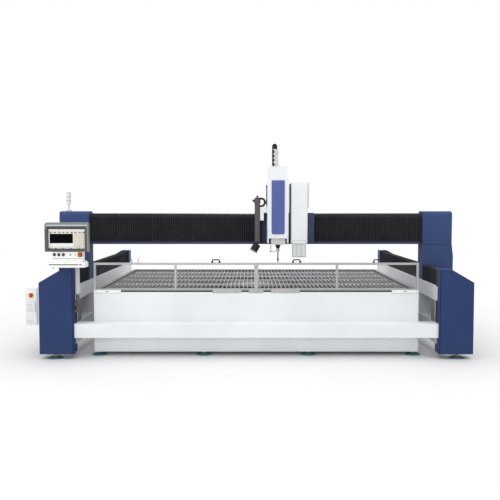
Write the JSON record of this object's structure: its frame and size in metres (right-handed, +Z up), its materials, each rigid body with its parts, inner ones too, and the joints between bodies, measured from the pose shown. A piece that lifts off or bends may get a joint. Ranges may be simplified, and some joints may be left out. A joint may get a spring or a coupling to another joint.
{
  "type": "waterjet cutting machine",
  "caption": "Gantry waterjet cutting machine: open tank with slat bed and splash guard, bellows-covered side rails, travelling gantry with cutting head, console and electrical cabinet.",
  "frame": {"origin": "middle of the machine's footprint, on the floor", "axes": "+Z up, +Y from the operator's front side to the back, +X to the operator's right, across the tank"},
  "size_m": [6.123, 4.88, 2.9369],
  "materials": {
    "blue_paint": "satin blue paint",
    "violet_paint": "satin violet-blue paint",
    "white_paint": "satin white paint",
    "grey_paint": "satin grey paint",
    "dark_paint": "satin dark blue paint",
    "dark_grey_paint": "satin dark grey paint",
    "foot_paint": "teal painted steel",
    "slat_steel": "galvanised steel, worn along the top edges",
    "brushed_steel": "brushed stainless steel",
    "rail_steel": "ground steel",
    "clear_pane": "clear sheet",
    "black_plastic": "matte black",
    "red_plastic": "gloss red",
    "lamp_plastic": "translucent pale segments",
    "beige_panel": "matte beige keypad panel",
    "bellows_cloth": "coated black cloth"
  },
  "bodies": {
    "frame": {"front_columns": "blue_paint", "rear_columns": "blue_paint", "right_side_frame": "white_paint", "left_side_frame": "white_paint", "side_panels": "dark_paint", "cross_beams": "white_paint", "machine_feet": "foot_paint", "tank_floor": "white_paint", "tank_front_wall": "white_paint", "tank_back_wall": "white_paint", "tank_right_wall": "white_paint", "tank_left_wall": "white_paint", "tank_rim": "grey_paint", "tank_feet": "foot_paint", "slat_bed": "slat_steel", "splash_guard_frame": "brushed_steel", "splash_guard_panes": "clear_pane", "guard_handles": "black_plastic", "side_rails": "rail_steel", "front_rail_bellows": "bellows_cloth", "rear_rail_bellows": "bellows_cloth", "console_stem": "dark_grey_paint", "console_post": "grey_paint", "keyboard_shelf": "white_paint", "button_panel": "white_paint", "console_hood": "grey_paint", "screen_panel": "beige_panel", "panel_controls": "black_plastic", "electrical_cabinet": "white_paint"},
    "gantry": {"gantry_right_leg": "blue_paint", "gantry_left_leg": "blue_paint", "gantry_beam": "blue_paint", "beam_rails": "rail_steel", "left_beam_bellows": "bellows_cloth", "right_beam_bellows": "bellows_cloth", "signal_lamp": "lamp_plastic"},
    "carriage": {"carriage_saddle": "blue_paint", "head_housing": "white_paint", "housing_front_panel": "violet_paint", "tool_unit": "white_paint", "work_lamp_tube": "dark_grey_paint", "work_lamp_spot": "black_plastic", "energy_chain": "black_plastic"},
    "head": {"head_slide": "brushed_steel", "head_block": "grey_paint", "head_nut": "black_plastic", "cutting_nozzle": "brushed_steel"},
    "door": {"cabinet_door": "white_paint"},
    "switch": {"main_switch": "red_plastic"},
    "stop_button": {"emergency_stop": "red_plastic"}
  },
  "joints": [
    {"name": "gantry_travel", "type": "slide", "parent": "frame", "child": "gantry", "axis": [0, 1, 0], "range_m": [-0.5, 2.45], "deforming": ["front_rail_bellows", "rear_rail_bellows"]},
    {"name": "carriage_travel", "type": "slide", "parent": "gantry", "child": "carriage", "axis": [1, 0, 0], "range_m": [-2.28, 1.4], "deforming": ["left_beam_bellows", "right_beam_bellows"]},
    {"name": "head_lift", "type": "slide", "parent": "carriage", "child": "head", "axis": [0, 0, 1], "range_m": [-0.3, 0]},
    {"name": "door_hinge", "type": "hinge", "parent": "frame", "child": "door", "pos_m": [-3.0535, -1.66, 0.6465], "axis": [0, 0, -1], "range_deg": [0, 110]},
    {"name": "switch_turn", "type": "hinge", "parent": "door", "child": "switch", "pos_m": [-2.9785, -1.6663, 0.806], "axis": [0, -1, 0], "range_deg": [-90, 0]},
    {"name": "stop_push", "type": "slide", "parent": "frame", "child": "stop_button", "axis": [0, 1, 0], "range_m": [0, 0.005]}
  ]
}
